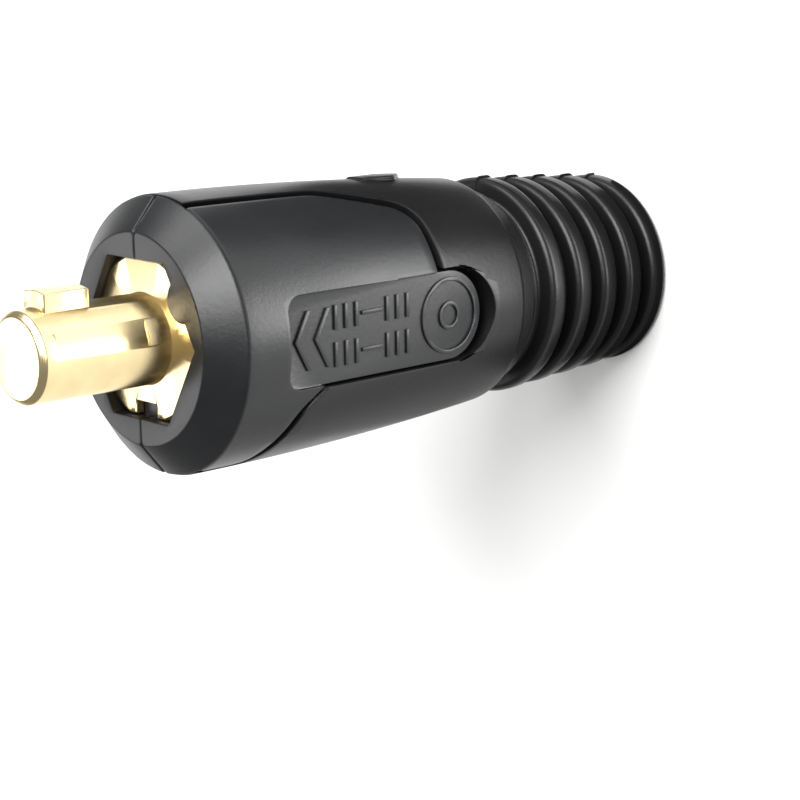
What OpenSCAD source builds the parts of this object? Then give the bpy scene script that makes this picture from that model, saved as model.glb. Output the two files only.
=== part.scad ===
// Welding cable plug with a twist-lock brass pin. It stands on the ribbed tail of its rubber
// sleeve, +Z along the pin, +X towards the side with the marking panel, +Y towards the lug.

/* [Pin] */
// Diameter of the contact pin
pin_d = 13; // [9:0.5:14]
// Length of the pin in front of its collar
pin_len = 21.2; // [18:0.1:26]
// Chamfer round the tip of the pin
pin_chamfer = 0.8; // [0.2:0.1:1.5]
// Width of the locking lug
lug_w = 5; // [3:0.1:7]
// Height of the lug above the pin
lug_h = 2.5; // [1:0.1:3]
// Length of the lug along the pin
lug_len = 7.2; // [5:0.1:11]
// Distance from the tip of the pin to the lug
lug_back = 3.3; // [1.5:0.1:5]
// Width of the flat milled along the side of the pin
flat_w = 3.9; // [1:0.1:5]
// Length of the flat
flat_len = 14.7; // [10:0.1:16]
// Distance from the tip of the pin to the flat
flat_back = 2.8; // [1.2:0.1:4]
// Direction of the flat round the pin, in degrees from the panel side
flat_turn = 19; // [0:1:40]

/* [Contact body] */
// Width of the hexagonal collar across its flats
collar_af = 22.2; // [20:0.1:23]
// Thickness of the collar
collar_t = 5.2; // [4:0.1:7]
// Diameter to which the collar's corners are turned
collar_turned_d = 24.6; // [23:0.1:26]
// Width of the key slot in the collar
key_slot_w = 4.7; // [3:0.1:6]
// Depth of the key slot in the collar
key_slot_depth = 2; // [1:0.1:2.5]
// Diameter of the groove behind the collar
groove_d = 17; // [15.5:0.1:19]
// Length of the groove
groove_len = 3.6; // [2.5:0.1:5]
// Outer diameter of the cable barrel
barrel_d = 21; // [20:0.1:22]
// Length of the barrel behind the groove
barrel_len = 37.5; // [34:0.5:40]
// Diameter of the round notches in the collar's sides
notch_d = 6.6; // [5:0.1:8]
// Distance of the notches from the axis
notch_out = 12.2; // [11.5:0.1:13]
// Direction of the notches, in degrees from the panel side
notch_turn = 32; // [20:1:40]
// Diameter of the bore for the strands
strand_bore_d = 14; // [12:0.1:15]
// Depth of the bore for the strands
strand_bore_depth = 31; // [27:0.5:33]
// Chamfer at the mouth of the bore
bore_chamfer = 1; // [0.3:0.1:1.5]

/* [Clamp screws] */
// Diameter of each clamp screw
screw_d = 10; // [8:0.5:11]
// Length of each clamp screw
screw_len = 5.8; // [5:0.1:6.2]
// Distance between the two clamp screws
screw_spacing = 12.5; // [11.5:0.5:14]
// Distance from the mouth of the bore to the first screw
screw_in = 8.5; // [7:0.5:10]
// Width of the hexagon socket across its flats
socket_af = 5; // [4:0.5:6]
// Depth of the hexagon socket
socket_depth = 3; // [2:0.1:3.6]
// Clearance of the clamp screws in their holes
thread_gap = 0.05; // [0.02:0.01:0.1]

/* [Cable sleeve] */
// Outer diameter of the copper sleeve round the strands
ferrule_d = 12.8; // [11:0.1:13.4]
// Wall of the copper sleeve
ferrule_t = 0.5; // [0.3:0.1:0.8]
// Length of the copper sleeve
ferrule_len = 27; // [24:0.5:29]
// Width of the open slit along the copper sleeve
ferrule_slit = 1.6; // [0.8:0.1:3]

/* [Nose] */
// Diameter of the flat front face
nose_face_d = 30.2; // [30.1:0.1:32]
// Rounding of the rim between the body and the nose
rim_round = 1.2; // [0.2:0.1:1.5]
// Length of the cone behind the front face
nose_len = 4.1; // [3:0.1:6]
// Depth of the collar behind the front face
collar_recess = 1.2; // [0.5:0.1:2]
// Width of the groove along the shells' joint
split_w = 0.5; // [0.3:0.1:0.8]
// Depth of the groove along the shells' joint
split_depth = 0.6; // [0.3:0.1:1]
// Width of the key rib on the shells
key_w = 4.2; // [2.6:0.1:5.5]

/* [Shells] */
// Outer diameter of the shells' skirt inside the rubber sleeve
skirt_d = 29; // [27.5:0.1:30]
// Diameter of the access holes over the clamp screws
access_d = 11.4; // [10.6:0.1:12.2]
// Clearance between parts that fit into each other
fit_gap = 0.2; // [0.1:0.05:0.3]

/* [Cheeks] */
// Direction of each cheek's lobes from its panel, in degrees
lobe_turn = 45; // [42:1:48]
// Length of the long lobe behind the rim
long_lobe_len = 38; // [30:0.5:40]
// Distance of the long lobe's side from its middle line
long_lobe_side = 9.2; // [8:0.1:9.5]
// Distance from the rim to where the long lobe's side turns in
long_lobe_turn_in = 21; // [15:0.5:24]
// Distance of the long lobe's rear corner from its middle line
long_lobe_rear = 4.4; // [3:0.1:6]
// Rounding of the long lobe's rear corner
long_lobe_round = 5; // [2:0.5:6]
// Length of the short lobe behind the rim, at its outer corner
short_lobe_len = 7; // [5:0.5:8]
// Distance of the short lobe's side from its middle line
short_lobe_side = 7.2; // [6:0.1:8.5]
// Fall of the short lobe's edge towards the panel
short_lobe_fall = 11.5; // [9:0.5:13]

/* [Body] */
// Diameter of the body at the front rim
body_front_d = 40; // [39:0.1:42]
// Diameter of the body at the rear shoulder
body_rear_d = 35; // [34:0.1:37]
// Length of the body between the front rim and the rear shoulder
body_len = 54.5; // [53:0.5:58]
// Length of the tapered band behind the shoulder
band_len = 3.9; // [3:0.1:7]
// Diameter of the band's front edge
band_d = 32.2; // [31:0.1:33.5]
// Narrowing of the band towards the grip, on the diameter
band_taper = 0.8; // [0.2:0.1:4]
// Length of the rounded step from the shoulder down to the band
band_step = 1.4; // [0.8:0.1:2]
// Gap between the rubber sleeve and the shells' skirt
seat_gap = 0.3; // [0.2:0.05:0.5]
// Height of the raised alignment mark
mark_h = 0.6; // [0.2:0.1:1]
// Length of the mark's bar
mark_len = 5.6; // [4:0.1:8]
// Width of the mark's bar
mark_w = 4.4; // [3:0.1:6]
// Length of the mark's arrowhead
mark_head = 2.8; // [2:0.1:4]
// Distance from the shoulder to the tip of the arrowhead
mark_in = 9.4; // [5:0.1:12]

/* [Ribbed grip] */
// Number of ribs
rib_count = 5; // [4:1:6]
// Distance from one rib to the next
rib_pitch = 6.1; // [5.5:0.1:6.6]
// Width of each rib
rib_w = 3.1; // [2.4:0.1:3.6]
// Diameter of the rib nearest to the body
rib_front_d = 33.8; // [32:0.1:35]
// Diameter of the rib at the tail
rib_tail_d = 30.4; // [29:0.1:32]
// Depth of the grooves between the ribs
rib_groove = 2.9; // [2.2:0.1:3.4]
// Rounding of the ribs' crests
rib_round = 1.1; // [0.5:0.1:1.1]
// Rounding at the bottom of the grooves
groove_round = 0.8; // [0.3:0.1:0.9]
// Diameter of the cable bore in the tail
cable_bore_d = 17.5; // [14:0.1:18.5]

/* [Seams] */
// Width of the seam between the shells and the rubber sleeve
seam_gap = 1.2; // [0.6:0.1:1.5]
// Width of the marking panel
panel_w = 13.2; // [11:0.1:14]
// Distance from the front rim to the panel
panel_in = 7.4; // [6:0.1:10]
// Radius of the panel's front corners
panel_corner = 2.5; // [1:0.1:4]
// Length of the panel's tab behind the shells' skirt
tab_over = 2.6; // [1:0.1:4]
// Gap between the sides of the panel's tab and its slot
tab_gap = 0.35; // [0.2:0.05:0.6]
// Gap between the end of the panel's tab and the end of its slot
tab_end_gap = 1.6; // [1:0.1:3]
// Depth of the panel below the body's surface at its rear end
panel_depth = 1.45; // [1:0.05:2]
// Slope of the panel towards the tail, in degrees
panel_slope = 2.4; // [1:0.1:4]

/* [Hidden] */
$fn = 96;
far = 60;
sliver = 0.01;
key_root = 1;
arc_steps = 8;
profile_steps = 10;

// Heights, from the tail end up
grip_len = rib_count * rib_pitch;
shoulder_z = grip_len + band_len;
rim_z = shoulder_z + body_len;
face_z = rim_z + nose_len;
collar_face_z = face_z - collar_recess;
tip_z = collar_face_z + pin_len;
collar_z = collar_face_z - collar_t;
groove_z = collar_z - groove_len;
barrel_z = groove_z - barrel_len;
skirt_z = barrel_z;
screw_zs = [barrel_z + screw_in, barrel_z + screw_in + screw_spacing];

// Radii and clearances
pin_r = pin_d / 2;
skirt_r = skirt_d / 2;
seat_r = skirt_r + seat_gap;
barrel_hole_r = barrel_d / 2 + fit_gap;
web_r = groove_d / 2 + fit_gap;
cable_bore_r = cable_bore_d / 2;
strand_bore_r = strand_bore_d / 2;
sleeve_front_z = rim_z - tab_gap;
flat_depth = pin_r - sqrt(pin_r * pin_r - flat_w * flat_w / 4);

// The panel and its tab
panel_r = panel_w / 2;
tab_z = skirt_z - tab_over;
tab_root_r = skirt_r - fit_gap;
panel_front_z = rim_z - panel_in;
panel_x = body_r(tab_z) - panel_depth;

// The inner sides of the lobes lie under the panel's tab, however wide the body is
lobe_inner = body_front_d * 0.3;
short_lobe_bend = lobe_inner * 0.45;
short_lobe_dip = short_lobe_fall / 3;
short_lobe_round = short_lobe_side * 0.4;

// Draft of the grooves' sides
groove_draft = (rib_pitch - rib_w) * 0.15;

// The lug side of the screws and where they rest
screw_tip_y = strand_bore_r + fit_gap;
ferrule_y = -(strand_bore_r - ferrule_d / 2 - fit_gap / 4);

// Radius of the body at a height: a slow belly from the rear shoulder to the front rim
function body_r(z) = body_front_d / 2 - (body_front_d - body_rear_d) / 2 * pow((rim_z - z) / body_len, 2);

// Heights of the points that the belly needs
function body_steps(from_z, to_z) = [for (i = [0:profile_steps]) from_z + (to_z - from_z) * i / profile_steps];

// Radius of a rib's crest, counted from the tail
function rib_r(k) = (rib_tail_d + (rib_front_d - rib_tail_d) * k / (rib_count - 1)) / 2;

// A point of an arc round a corner
function on_arc(centre, r, angle) = centre + r * [cos(angle), sin(angle)];

// An outline from corners [x, y, radius]: each corner with a radius becomes an arc
function unit(v) = v / norm(v);
function corner_arc(before, at, after, r) =
    let (
        a = unit(before - at), b = unit(after - at),
        half = acos(a * b) / 2,
        centre = at + unit(a + b) * r / sin(half),
        start = at + a * r / tan(half) - centre,
        end = at + b * r / tan(half) - centre,
        from = atan2(start[1], start[0]),
        sweep = (atan2(end[1], end[0]) - from + 540) % 360 - 180
    )
    [for (i = [0:arc_steps]) on_arc(centre, r, from + sweep * i / arc_steps)];
function flat2(c) = [c[0], c[1]];
function rounded(corners) =
    let (n = len(corners))
    [for (i = [0:n - 1])
        each corners[i][2] == 0 ? [flat2(corners[i])]
            : corner_arc(flat2(corners[(i + n - 1) % n]), flat2(corners[i]),
                         flat2(corners[(i + 1) % n]), corners[i][2])];

// A prism from a side outline: outline x runs across the direction turn, outline y runs along Z
module side_prism(turn, corners) {
    rotate([0, 0, turn]) rotate([90, 0, 90]) linear_extrude(far) polygon(rounded(corners));
}

// The two lobes and the tab of a cheek, grown by a gap on every edge that meets the rubber sleeve
module long_lobe(gap) {
    side = long_lobe_side + gap;
    rear_z = rim_z - long_lobe_len - gap;
    side_prism(lobe_turn, [[-lobe_inner, rear_z, 0], [long_lobe_rear + gap, rear_z, long_lobe_round],
                           [side, rim_z - long_lobe_turn_in - gap, 2 * long_lobe_round],
                           [side, rim_z + far, 0], [-lobe_inner, rim_z + far, 0]]);
}
module short_lobe(gap) {
    side = -short_lobe_side - gap;
    rear_z = rim_z - short_lobe_len - gap;
    side_prism(-lobe_turn, [[side, rear_z, short_lobe_round],
                            [short_lobe_bend, rear_z - short_lobe_dip, short_lobe_side],
                            [lobe_inner, rear_z - short_lobe_fall, 0],
                            [lobe_inner, rim_z + far, 0], [side, rim_z + far, 0]]);
}
module tab(side, end) {
    r = panel_r + side;
    translate([0, 0, tab_z + panel_r - end])
        rotate([90, 0, 90]) linear_extrude(far) {
            circle(r = r);
            translate([-r, 0]) square([2 * r, far]);
        }
}
module cheek_space(gap) {
    long_lobe(gap);
    short_lobe(gap);
}

// The recess of the marking panel: a flat that slopes in towards the tail, with round front corners
module panel_recess() {
    translate([panel_x, 0, tab_z]) rotate([0, panel_slope, 0])
        side_prism(0, [[-panel_r, -far, 0], [-panel_r, panel_front_z - tab_z, panel_corner],
                       [panel_r, panel_front_z - tab_z, panel_corner], [panel_r, -far, 0]]);
}

// The groove along the joint of the two shells, over the cone and the flat face of the nose
module split_groove() {
    for (side = [0, 1])
        mirror([0, side, 0]) translate([-split_w / 2, 0, 0]) rotate([90, 0, 90]) linear_extrude(split_w)
            polygon([[body_r(rim_z) - split_depth, rim_z - split_depth],
                     [body_r(rim_z) - split_depth, rim_z],
                     [nose_face_d / 2 - split_depth / 2, face_z - split_depth],
                     [collar_af / 2, face_z - split_depth],
                     [collar_af / 2, face_z + far], [far, face_z + far], [far, rim_z - split_depth]]);
}

// Half section of the outer wall of the shells, to be turned round Z
module cheek_outline() {
    polygon(rounded([[tab_root_r, tab_z, 0],
                     for (z = body_steps(tab_z, rim_z - 2 * rim_round)) [body_r(z), z, 0],
                     [body_r(rim_z), rim_z, rim_round], [nose_face_d / 2, face_z, rim_round / 2],
                     [tab_root_r, face_z, 0]]));
}

// Contact: the pin with its lug, the hexagonal collar, the groove and the cable barrel
module contact() {
    color("#e0b860")
    difference() {
        union() {
            rotate_extrude() polygon([
                [0, barrel_z], [barrel_d / 2, barrel_z], [barrel_d / 2, groove_z],
                [groove_d / 2, groove_z], [groove_d / 2, collar_z], [pin_r, collar_z],
                [pin_r, tip_z - pin_chamfer], [pin_r - pin_chamfer, tip_z], [0, tip_z]]);
            collar();
            lug();
        }
        translate([0, 0, barrel_z - sliver])
            cylinder(h = strand_bore_depth + sliver, r = strand_bore_r);
        translate([0, 0, barrel_z - sliver])
            cylinder(h = bore_chamfer + sliver, r1 = strand_bore_r + bore_chamfer, r2 = strand_bore_r);
        for (z = screw_zs)
            translate([0, 0, z]) rotate([-90, 0, 0]) cylinder(h = far, d = screw_d + 2 * thread_gap);
        rotate([0, 0, flat_turn])
            translate([pin_r - flat_depth, -flat_w, tip_z - flat_back - flat_len])
                cube([flat_w, 2 * flat_w, flat_len]);
    }
}
module collar() {
    difference() {
        intersection() {
            translate([0, 0, collar_z]) cylinder(h = collar_t, r = collar_af / sqrt(3), $fn = 6);
            translate([0, 0, collar_z]) cylinder(h = collar_t, d = collar_turned_d);
        }
        translate([-key_slot_w / 2, -far - collar_af / 2 + key_slot_depth, collar_z - sliver])
            cube([key_slot_w, far, collar_t + 2 * sliver]);
        for (turn = [notch_turn, notch_turn + 180])
            rotate([0, 0, turn]) translate([notch_out, 0, collar_z - sliver])
                cylinder(h = collar_t + 2 * sliver, d = notch_d);
    }
}
module lug() {
    translate([0, 0, tip_z - lug_back - lug_len])
    intersection() {
        cylinder(h = lug_len, r = pin_r + lug_h);
        translate([-lug_w / 2, 0, 0]) cube([lug_w, 2 * pin_r, lug_len]);
    }
}

// Front shells: two half shells that meet in the plane through the axis and the lug. Each has a
// skirt inside the rubber sleeve, a cheek with a panel on the outside and half of the nose.
module shell_mass() {
    translate([0, 0, skirt_z]) cylinder(h = face_z - skirt_z, r = skirt_r);
    intersection() {
        rotate_extrude() cheek_outline();
        union() {
            cheek_space(0);
            tab(0, 0);
            translate([-far, -far, rim_z]) cube([2 * far, 2 * far, far]);
        }
    }
}
module shell_hollow() {
    rotate_extrude() polygon([
        [0, skirt_z - sliver], [barrel_hole_r, skirt_z - sliver], [barrel_hole_r, groove_z + fit_gap],
        [web_r, groove_z + fit_gap], [web_r, collar_z + sliver], [0, collar_z + sliver]]);
    difference() {
        translate([0, 0, collar_z])
            cylinder(h = far, r = (collar_af / 2 + fit_gap) * 2 / sqrt(3), $fn = 6);
        for (turn = [notch_turn, notch_turn + 180])
            rotate([0, 0, turn]) translate([notch_out, 0, collar_z])
                cylinder(h = far, d = notch_d - 2 * fit_gap);
    }
    for (z = screw_zs)
        translate([0, 0, z]) rotate([-90, 0, 0]) cylinder(h = far, d = access_d);
}
module key_half() {
    translate([0, -collar_af / 2 - fit_gap - key_root, collar_z])
        cube([key_w / 2, key_slot_depth + key_root, collar_t]);
}
module shell(turn) {
    color("#3a3b3d") {
        difference() {
            intersection() {
                rotate([0, 0, turn]) shell_mass();
                rotate([0, 0, turn]) translate([0, -far, 0]) cube([far, 2 * far, 2 * far]);
            }
            shell_hollow();
            split_groove();
            rotate([0, 0, turn]) panel_recess();
        }
        mirror([turn / 180, 0, 0]) key_half();
    }
}
module front_shell_near() { shell(0); }
module front_shell_far() { shell(180); }

// Rear sleeve: one rubber moulding with two tongues over the shells' split, the slots for the
// panels' tabs, the shoulder, the ribbed grip and the cable bore
module rear_sleeve() {
    color("#2f3032")
    difference() {
        union() {
            rotate_extrude() sleeve_outline();
            alignment_mark();
        }
        translate([0, 0, skirt_z]) cylinder(h = far, r = seat_r);
        translate([0, 0, -sliver]) cylinder(h = skirt_z + 2 * sliver, r = cable_bore_r);
        for (turn = [0, 180]) rotate([0, 0, turn]) {
            cheek_space(seam_gap);
            tab_slot();
        }
    }
}
module tab_slot() {
    difference() {
        tab(tab_gap, tab_end_gap);
        cylinder(h = skirt_z, r = tab_root_r - tab_gap);
    }
}
module sleeve_outline() {
    polygon(rounded([
        [0, 0, 0],
        for (k = [0:rib_count - 1]) each rib_corners(k),
        [(band_d - band_taper) / 2, grip_len, 0],
        [band_d / 2, shoulder_z - band_step, 0],
        [body_r(shoulder_z), shoulder_z, band_step],
        for (z = body_steps(shoulder_z + 2 * band_step, sleeve_front_z)) [body_r(z), z, 0],
        [0, sleeve_front_z, 0]]));
}
function rib_corners(k) =
    let (z = k * rib_pitch, top = rib_r(k), bottom = top - rib_groove)
    [[top, z, rib_round], [top, z + rib_w, rib_round],
     [bottom, z + rib_w + groove_draft, groove_round],
     [bottom, z + rib_pitch - groove_draft, groove_round]];
module alignment_mark() {
    from_z = shoulder_z + mark_in;
    mark_y = body_r(from_z + mark_head) + mark_h;
    rotate([-90, 0, 0]) linear_extrude(mark_y)
        polygon([[0, -from_z], [mark_w / 2, -from_z - mark_head], [mark_w / 2, -from_z - mark_head - mark_len],
                 [-mark_w / 2, -from_z - mark_head - mark_len], [-mark_w / 2, -from_z - mark_head]]);
}

// Cable sleeve: a rolled copper wrap with an open slit, lying in the bore against its lower wall
module cable_sleeve() {
    color("#b8693f")
    translate([0, ferrule_y, barrel_z + bore_chamfer])
    difference() {
        cylinder(h = ferrule_len, d = ferrule_d);
        translate([0, 0, -sliver]) cylinder(h = ferrule_len + 2 * sliver, r = ferrule_d / 2 - ferrule_t);
        translate([0, -ferrule_slit / 2, -sliver]) cube([far, ferrule_slit, ferrule_len + 2 * sliver]);
    }
}

// Clamp screws: socket set screws in the barrel, level with the bore when they are open
module clamp_screw(z) {
    color("#8f8f8c")
    translate([0, screw_tip_y, z]) rotate([-90, 0, 0])
    difference() {
        cylinder(h = screw_len, d = screw_d);
        translate([0, 0, screw_len - socket_depth])
            cylinder(h = socket_depth + sliver, r = socket_af / sqrt(3), $fn = 6);
    }
}
module clamp_screw_rear() { clamp_screw(screw_zs[0]); }
module clamp_screw_front() { clamp_screw(screw_zs[1]); }

contact();
front_shell_near();
front_shell_far();
rear_sleeve();
cable_sleeve();
clamp_screw_rear();
clamp_screw_front();
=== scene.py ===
"""Welding cable plug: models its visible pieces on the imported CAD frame, and sets up the studio."""

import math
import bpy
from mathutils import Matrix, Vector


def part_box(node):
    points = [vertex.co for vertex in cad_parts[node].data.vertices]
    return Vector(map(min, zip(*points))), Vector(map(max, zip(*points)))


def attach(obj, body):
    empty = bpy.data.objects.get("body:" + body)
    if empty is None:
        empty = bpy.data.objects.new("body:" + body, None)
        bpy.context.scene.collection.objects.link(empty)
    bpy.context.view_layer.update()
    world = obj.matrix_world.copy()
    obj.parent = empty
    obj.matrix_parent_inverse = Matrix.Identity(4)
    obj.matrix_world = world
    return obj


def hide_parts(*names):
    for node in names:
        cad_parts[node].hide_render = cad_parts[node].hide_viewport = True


bl_info = {
    "name": "Welding Cable Plug",
    "version": (1, 0, 0),
    "blender": (4, 5, 0),
    "location": "3D View > Sidebar > Cable Plug",
    "description": "Models a twist-lock welding cable plug piece by piece, with its finishes and a studio",
    "category": "Add Mesh",
}

import bpy
from mathutils import Matrix, Vector

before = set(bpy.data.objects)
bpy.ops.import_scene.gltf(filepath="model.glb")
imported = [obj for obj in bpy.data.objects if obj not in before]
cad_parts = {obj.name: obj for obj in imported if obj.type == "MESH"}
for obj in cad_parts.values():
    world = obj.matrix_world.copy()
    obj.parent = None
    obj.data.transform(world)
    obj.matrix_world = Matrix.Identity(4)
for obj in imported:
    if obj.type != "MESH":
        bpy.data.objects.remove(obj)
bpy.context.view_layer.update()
MM = 0.001
FAR = 30 * MM

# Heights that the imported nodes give
TAB_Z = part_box("front_shell_near")[0].z
FACE_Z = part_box("front_shell_near")[1].z
SLEEVE_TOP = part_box("rear_sleeve")[1].z
BARREL_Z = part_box("contact")[0].z
TIP_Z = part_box("contact")[1].z
SCREW_ZS = [sum(corner.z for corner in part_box(node)) / 2 for node in ("clamp_screw_rear", "clamp_screw_front")]
SCREW_LOW, SCREW_HIGH = (corner.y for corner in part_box("clamp_screw_rear"))
WRAP_LOW, WRAP_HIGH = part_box("cable_sleeve")


# Sizes and colours that a user may change

def length(name, description, value):
    """A length in a settings group, given in millimetres."""
    return bpy.props.FloatProperty(
        name=name, description=description, default=value * MM, min=0, unit="LENGTH", precision=5)


def colour(name, description, value):
    """A linear colour in a settings group."""
    return bpy.props.FloatVectorProperty(
        name=name, description=description, default=value, size=3, min=0, max=1, subtype="COLOR")


def power(name, description, value):
    """The power of a light in a settings group, in watts."""
    return bpy.props.FloatProperty(name=name, description=description, default=value, min=0, unit="POWER")


class SleeveSizes(bpy.types.PropertyGroup):
    """Sizes of the rubber sleeve"""

    rib_count: bpy.props.IntProperty(name="Ribs", description="Number of ribs on the grip", default=5, min=2, max=8)
    rib_pitch: length("Rib pitch", "Distance from one rib to the next", 6.1)
    rib_width: length("Rib width", "Width of each rib", 3.1)
    rib_front: length("Front rib", "Diameter of the rib nearest to the body", 33.8)
    rib_tail: length("Tail rib", "Diameter of the rib at the tail", 30.4)
    rib_round: length("Rib rounding", "Rounding of the ribs' crests", 1.1)
    groove_depth: length("Groove depth", "Depth of the grooves between the ribs", 2.9)
    groove_round: length("Groove rounding", "Rounding at the bottom of the grooves", 0.8)
    band_length: length("Band length", "Length of the narrow band behind the shoulder", 3.9)
    band_front: length("Band diameter", "Diameter of the band at its front edge", 32.2)
    band_taper: length("Band taper", "Narrowing of the band towards the grip", 0.8)
    shoulder_round: length("Shoulder rounding", "Rounding of the body's rear shoulder", 1.4)
    body_front: length("Body front", "Diameter of the body at the front rim", 40)
    body_rear: length("Body rear", "Diameter of the body at the shoulder", 35)
    body_length: length("Body length", "Length of the body from the shoulder to the rim", 54.5)
    bore: length("Cable bore", "Diameter of the cable bore in the tail", 17.5)
    mark_height: length("Mark height", "Height of the raised alignment mark", 0.6)
    mark_length: length("Mark length", "Length of the mark's bar", 5.6)
    mark_width: length("Mark width", "Width of the mark's bar", 4.4)
    mark_head: length("Mark head", "Length of the mark's arrowhead", 2.8)
    mark_in: length("Mark inset", "Distance from the shoulder to the tip of the arrowhead", 9.4)
    flash: length("Parting line", "Height of the fine ridge that the mould's parting line leaves", 0.3)
    seat_gap: length("Seat gap", "Gap between the sleeve and the shells' skirt", 0.3)
    edge: length("Edge rounding", "Rounding of the sleeve's seam edges", 0.3)


class ShellSizes(bpy.types.PropertyGroup):
    """Sizes of the two front shells"""

    skirt: length("Skirt", "Diameter of the skirt inside the rubber sleeve", 29)
    nose_face: length("Nose face", "Diameter of the flat front face", 30.2)
    nose_length: length("Nose length", "Length of the cone behind the front face", 4.1)
    rim_round: length("Rim rounding", "Rounding between the body and the nose", 1.2)
    seam: length("Seam", "Width of the seam between the shells and the sleeve", 1.2)
    tab_gap: length("Tab gap", "Gap beside the panel's tab in its slot", 0.35)
    tab_end_gap: length("Tab end gap", "Gap behind the end of the panel's tab", 1.6)
    panel_width: length("Panel width", "Width of the marking panel", 13.2)
    panel_in: length("Panel inset", "Distance from the rim to the panel", 7.4)
    panel_corner: length("Panel corner", "Radius of the panel's front corners", 2.5)
    panel_depth: length("Panel depth", "Depth of the panel at its rear end", 1.45)
    panel_slope: bpy.props.FloatProperty(
        name="Panel slope", description="Slope of the panel towards the tail", default=math.radians(2.4),
        subtype="ANGLE")
    access: length("Access holes", "Diameter of the holes over the clamp screws", 11.4)
    fit: length("Fit", "Clearance between pieces that fit into each other", 0.2)
    key: length("Key", "Width of the key rib under the collar", 4.2)
    key_back: length("Key setback", "Distance from the collar's face to the front of the key rib", 1.2)
    split_width: length("Joint groove", "Width of the groove along the shells' joint on the nose", 0.5)
    split_depth: length("Joint groove depth", "Depth of the groove along the shells' joint", 0.6)
    print_height: length("Print height", "Height of the raised marks on the panel", 0.28)
    print_stroke: length("Print stroke", "Width of the strokes of the raised marks", 0.6)
    edge: length("Edge rounding", "Rounding of the shells' edges", 0.22)


class ContactSizes(bpy.types.PropertyGroup):
    """Sizes of the brass contact"""

    pin: length("Pin", "Diameter of the contact pin", 13)
    pin_length: length("Pin length", "Length of the pin in front of its collar", 21.2)
    pin_chamfer: length("Pin chamfer", "Chamfer round the tip of the pin", 0.8)
    lug_width: length("Lug width", "Width of the locking lug", 5)
    lug_height: length("Lug height", "Height of the lug above the pin", 2.5)
    lug_length: length("Lug length", "Length of the lug along the pin", 7.2)
    lug_back: length("Lug setback", "Distance from the tip to the lug", 3.3)
    flat_width: length("Flat width", "Width of the flat milled along the pin", 3.9)
    flat_length: length("Flat length", "Length of the flat", 14.7)
    flat_back: length("Flat setback", "Distance from the tip to the flat", 2.8)
    flat_turn: bpy.props.FloatProperty(
        name="Flat direction", description="Direction of the flat round the pin", default=math.radians(19),
        subtype="ANGLE")
    collar_flats: length("Collar", "Width of the hexagonal collar across its flats", 22.2)
    collar_turned: length("Collar corners", "Diameter to which the collar's corners are turned", 24.6)
    collar_thick: length("Collar thickness", "Thickness of the collar", 5.2)
    slot_width: length("Key slot", "Width of the key slot in the collar", 4.7)
    slot_depth: length("Key slot depth", "Depth of the key slot", 2)
    notch: length("Notch", "Diameter of the round notches in the collar", 6.6)
    notch_turn: bpy.props.FloatProperty(
        name="Notch direction", description="Direction of the notches round the collar",
        default=math.radians(32), subtype="ANGLE")
    notch_out: length("Notch distance", "Distance of the notches from the axis", 12.2)
    groove: length("Groove", "Diameter of the groove behind the collar", 17)
    groove_length: length("Groove length", "Length of the groove", 3.6)
    barrel: length("Barrel", "Diameter of the cable barrel", 21)
    bore: length("Strand bore", "Diameter of the bore for the strands", 14)
    bore_depth: length("Bore depth", "Depth of the bore for the strands", 31)
    edge: length("Edge rounding", "Rounding of the brass edges", 0.16)


class ClampSizes(bpy.types.PropertyGroup):
    """Sizes of the clamp screws and of the copper wrap"""

    screw: length("Screw", "Diameter of a clamp screw over its thread", 9.96)
    pitch: length("Thread pitch", "Pitch of the thread", 1.5)
    thread_depth: length("Thread depth", "Depth of the thread", 0.62)
    socket: length("Socket", "Width of the hexagon socket across its flats", 5)
    socket_depth: length("Socket depth", "Depth of the hexagon socket", 3)
    wrap_wall: length("Wrap wall", "Wall of the copper wrap", 0.5)
    wrap_slit: length("Wrap slit", "Width of the slit along the copper wrap", 1.6)


class FinishColours(bpy.types.PropertyGroup):
    """Colours of the finishes"""

    rubber: colour("Rubber", "Base colour of the rubber sleeve", (0.0065, 0.0065, 0.007))
    plastic: colour("Plastic", "Base colour of the moulded shells", (0.0085, 0.009, 0.010))
    brass: colour("Brass", "Colour of the machined brass", (0.94, 0.76, 0.43))
    copper: colour("Copper", "Colour of the rolled copper", (0.86, 0.46, 0.29))
    steel: colour("Steel", "Colour of the plated steel", (0.52, 0.51, 0.48))
    floor: colour("Floor", "Colour of the floor", (0.9, 0.9, 0.89))


class StudioLight(bpy.types.PropertyGroup):
    """Strengths of the studio lights"""

    key: power("Key", "Power of the softbox over the lug side", 23.5)
    rear: power("Rear", "Power of the softbox that the brass faces mirror", 2.9)
    front: power("Front", "Power of the softbox beside the camera", 1.6)
    top: power("Top", "Power of the softbox that lights the top of the nose", 4.6)
    panel: power("Panel", "Power of the low panel on the panel side", 0.145)
    sky: bpy.props.FloatProperty(name="Surroundings", description="Brightness of the white surroundings",
                                 default=0.28, min=0)


class PlugSettings(bpy.types.PropertyGroup):
    """All settings of the cable plug"""

    sleeve: bpy.props.PointerProperty(type=SleeveSizes)
    shells: bpy.props.PointerProperty(type=ShellSizes)
    contact: bpy.props.PointerProperty(type=ContactSizes)
    clamp: bpy.props.PointerProperty(type=ClampSizes)
    colours: bpy.props.PointerProperty(type=FinishColours)
    light: bpy.props.PointerProperty(type=StudioLight)


# Mesh tools

def deselect():
    """Leaves edit mode and selects nothing, because an operator acts on all that is selected."""
    if bpy.context.object and bpy.context.object.mode != "OBJECT":
        bpy.ops.object.mode_set(mode="OBJECT")
    bpy.ops.object.select_all(action="DESELECT")


def pick(piece):
    """Makes one piece the only selected one."""
    deselect()
    bpy.context.view_layer.objects.active = piece
    piece.select_set(True)
    return piece


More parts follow.
